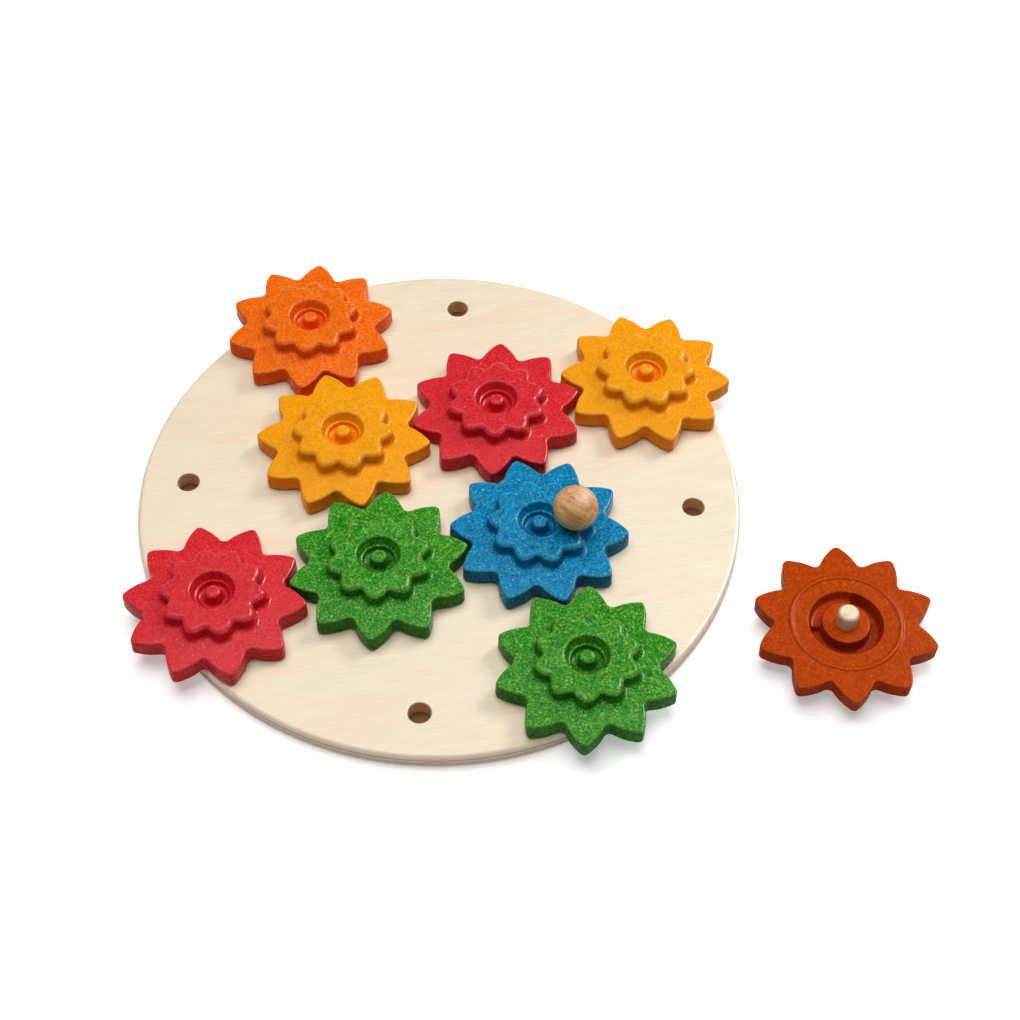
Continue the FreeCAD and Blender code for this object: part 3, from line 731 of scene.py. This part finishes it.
def buildGear(name, material, body, node, turn, upsideDown=False):
    shape = gearShape
    petals, flower, foot = petalOutline("petal"), petalOutline("flower"), petalOutline("foot")
    angles = [math.atan2(point.y, point.x) for point, away in petals]

    def circle(radius, z):
        return [Vector((radius * math.cos(a), radius * math.sin(a), z)) for a in angles]

    def inset(outline, amount, z):
        return [Vector((*(point - away * amount), z)) for point, away in outline]

    def sloped(ring):
        # the petals keep their stated height at the valleys
        for point in ring:
            point.z += shape["petalFall"] * (shape["petalValley"] - point.xy.length)
        return ring

    top, under = shape["height"], shape["underside"]
    ledge, moatFloor = top - shape["ledgeDepth"], top - shape["moatDepth"]
    buttonTop = top - shape["buttonBelowMouth"]
    corners = [  # points, bevel width, bevel segments, rubbed by hands and painted with a highlight
        (circle(shape["poleRadius"], shape["socketDepth"]), 0, 0, False),
        (circle(shape["socket"], shape["socketDepth"]), 0.2, 1, False),
        (circle(shape["socket"], under), 0.3, 2, False),
        (circle(shape["hub"], under), 0.8, 4, True),
        (circle(shape["hub"] + shape["hubDraft"], shape["grooveDepth"]), 1.4, 4, False),
        (circle(shape["grooveFloor"], shape["grooveDepth"]), 1.4, 4, False),
        (circle(shape["grooveMouth"], under), 0.5, 3, True),
    ]
    # the bead that the gear slides on is a flat arc
    halfBead = shape["beadWidth"] / 2
    beadRound = (halfBead ** 2 + under ** 2) / (2 * under)
    beadSide = halfBead + shape["beadMargin"]
    corners.append((circle(shape["beadRadius"] - beadSide, under), 0, 0, False))
    for step in range(shape["beadSteps"] + 1):
        across = halfBead * (2 * step / shape["beadSteps"] - 1)
        z = beadRound - math.sqrt(beadRound ** 2 - across ** 2)
        corners.append((circle(shape["beadRadius"] + across, z), 0, 0, False))
    corners.append((circle(shape["beadRadius"] + beadSide, under), 0, 0, False))
    corners += [
        (inset(petals, 0, under), 0.6, 4, True),
        (sloped(inset(petals, shape["petalDraft"], shape["petalTop"])), 1.2, 6, True),
        (sloped(inset(foot, 0, shape["petalTop"])), 1.6, 6, False),
        (inset(flower, 0, top), 2.3, 7, True),
        (circle(shape["dishMouth"], top), 0.9, 5, True),
        (circle(shape["ledgeOuter"], ledge), 0.4, 3, False),
        (circle(shape["ledgeInner"], ledge - shape["ledgeFall"]), 0.4, 3, False),
        (circle(shape["moatOuter"], moatFloor), 1.3, 5, False),
        (circle(shape["buttonFoot"], moatFloor), 1.3, 5, False),
        (circle(shape["buttonTop"], buttonTop), 1.6, 6, True),
        (circle(shape["poleRadius"], buttonTop), 0, 0, False),
    ]
    bm = stackRings(corners)
    # the pad lifts part of the groove's floor, under the crank's place
    pitch = 2 * math.pi / shape["petals"]
    padMiddle, padHalf = shape["padPetal"] * pitch, shape["padPetals"] * pitch / 2
    for vert in bm.verts:
        if shape["hub"] < vert.co.xy.length < shape["grooveMouth"] and under < vert.co.z < moatFloor:
            away = abs((math.atan2(vert.co.y, vert.co.x) - padMiddle + math.pi) % (2 * math.pi) - math.pi)
            share = min(max((padHalf - away) / math.radians(shape["padStepWidth"]), 0), 1)
            vert.co.z -= shape["padHeight"] * share * (vert.co.z - under) / (shape["grooveDepth"] - under)
    wornAndPainted, slack = gearWearAndPaintedLight, gearWearAndPaintedLight["slack"]
    wearAndPaintedLight = bm.verts.layers.float["wearAndPaintedLight"]
    # painted shade goes into the moat and the groove
    for vert in bm.verts:
        fromAxis, z = vert.co.xy.length, vert.co.z
        inMoat = fromAxis < shape["ledgeInner"] and moatFloor - slack < z < ledge - wornAndPainted["moatShade"]
        inGroove = (shape["hub"] < fromAxis < shape["grooveMouth"]
                    and under + wornAndPainted["grooveShade"] < z < moatFloor)
        if inMoat or inGroove:
            vert[wearAndPaintedLight] = wornAndPainted["hollow"]
        # the bead's top is painted paler as a highlight, and its foot darker as painted shade
        fromBead = abs(fromAxis - shape["beadRadius"])
        if z < under + slack and fromBead < halfBead + slack:
            vert[wearAndPaintedLight] = wornAndPainted["bead"] if fromBead < halfBead - wornAndPainted["beadFootWidth"] else wornAndPainted["beadFoot"]
    low, high = (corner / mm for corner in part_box(node))
    place = Vector(((low.x + high.x) / 2, (low.y + high.y) / 2, low.z))
    if upsideDown:
        bmesh.ops.rotate(bm, cent=(0, 0, 0), matrix=Matrix.Rotation(math.pi, 3, "X"), verts=bm.verts)
        place.z = high.z
    bmesh.ops.rotate(bm, cent=(0, 0, 0), matrix=Matrix.Rotation(math.radians(turn), 3, "Z"), verts=bm.verts)
    bmesh.ops.translate(bm, vec=place, verts=bm.verts)
    return finishPiece(name, bm, material, body, node)


# dye and turn in degrees of each gear on the board: its neighbours are turned by half a petal
gearSettings = {
    "orange": ("dyedOrangeComposite", 0),
    "yellow_inner": ("dyedYellowComposite", 18),
    "red_inner": ("dyedRedComposite", 0),
    "yellow_outer": ("dyedYellowComposite", 18),
    "green_inner": ("dyedGreenComposite", 0),
    "blue": ("dyedBlueComposite", 18),
    "red_outer": ("dyedRedComposite", 18),
    "green_outer": ("dyedGreenComposite", 0),
}
spareTurn = 75
for colour, (dye, turn) in gearSettings.items():
    buildGear("gear-" + colour, dye, "gear_" + colour, "gear_" + colour, turn)
buildGear("gear-spare", "dyedBurntOrangeComposite", "spare", "gear_spare", spareTurn, upsideDown=True)


print("pegs")
pegShape = {
    "radius": 5.0,
    "flutes": 20,
    "fluteRadius": 0.36,
    "fluteSteps": 12,       # points from one flute to the next
    "chamfer": 1.0,
    "poleRadius": 0.4,
}


def buildPeg(name, body, node):
    shape = pegShape
    low, high = (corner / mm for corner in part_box(node))
    count = shape["flutes"] * shape["fluteSteps"]

    def fluted(inset, z):
        ring = []
        for i in range(count):
            angle = 2 * math.pi * i / count
            step = (i + shape["fluteSteps"] / 2) % shape["fluteSteps"] - shape["fluteSteps"] / 2
            along = shape["radius"] * 2 * math.pi * step / count
            groove = math.sqrt(max(shape["fluteRadius"] ** 2 - along ** 2, 0))
            radius = shape["radius"] - max(groove, inset)
            ring.append(Vector((radius * math.cos(angle), radius * math.sin(angle), z)))
        return ring

    corners = [  # points, bevel width, bevel segments, rubbed by hands and painted with a highlight
        (fluted(shape["radius"] - shape["poleRadius"], low.z), 0, 0, False),
        (fluted(shape["chamfer"], low.z), 0.3, 2, False),
        (fluted(0, low.z + shape["chamfer"]), 0.2, 2, False),
        (fluted(0, high.z - shape["chamfer"]), 0.2, 2, False),
        (fluted(shape["chamfer"], high.z), 0.3, 2, False),
        (fluted(shape["radius"] - shape["poleRadius"], high.z), 0, 0, False),
    ]
    bm = stackRings(corners)
    bmesh.ops.translate(bm, vec=((low.x + high.x) / 2, (low.y + high.y) / 2, 0), verts=bm.verts)
    return finishPiece(name, bm, "rolledBeech", body, node)


for colour in gearSettings:
    buildPeg("peg-" + colour, "peg_" + colour, "peg_" + colour)
buildPeg("peg-spare", "spare", "peg_spare")


print("crank ball")
ballShape = {
    "radius": 10.9,
    "flatDepth": 0.6,
    "boreRadius": 3.05,
    "boreDepth": 10.0,
    "meridians": 96,
    "parallels": 64,
}


def buildBall():
    shape = ballShape
    low, high = (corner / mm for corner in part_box("crank_ball"))
    bm = bmesh.new()
    bmesh.ops.create_uvsphere(bm, u_segments=shape["meridians"], v_segments=shape["parallels"],
                              radius=shape["radius"])
    flatZ = shape["flatDepth"] - shape["radius"]
    bmesh.ops.bisect_plane(bm, geom=bm.verts[:] + bm.edges[:] + bm.faces[:], plane_co=(0, 0, flatZ),
                           plane_no=(0, 0, -1), clear_outer=True)
    flat = bmesh.ops.edgeloop_fill(bm, edges=[e for e in bm.edges if e.is_boundary])["faces"]
    flatRadius = math.sqrt(shape["radius"] ** 2 - flatZ ** 2)
    bmesh.ops.inset_region(bm, faces=flat, thickness=flatRadius - shape["boreRadius"], use_even_offset=True)
    bore = bmesh.ops.extrude_discrete_faces(bm, faces=flat)["faces"]
    bmesh.ops.translate(bm, vec=(0, 0, shape["boreDepth"]), verts=bore[0].verts)
    bmesh.ops.translate(bm, vec=((low.x + high.x) / 2, (low.y + high.y) / 2, high.z - shape["radius"]),
                        verts=bm.verts)
    return finishPiece("crankBall", bm, "turnedRubberwood", "gear_blue", "crank_ball")


buildBall()

# the stem is a plain dowel between the ball and the gear, so its own solid stays
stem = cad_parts["crank_stem"]
stem.data.materials.clear()
stem.data.materials.append(materials["rolledBeech"])
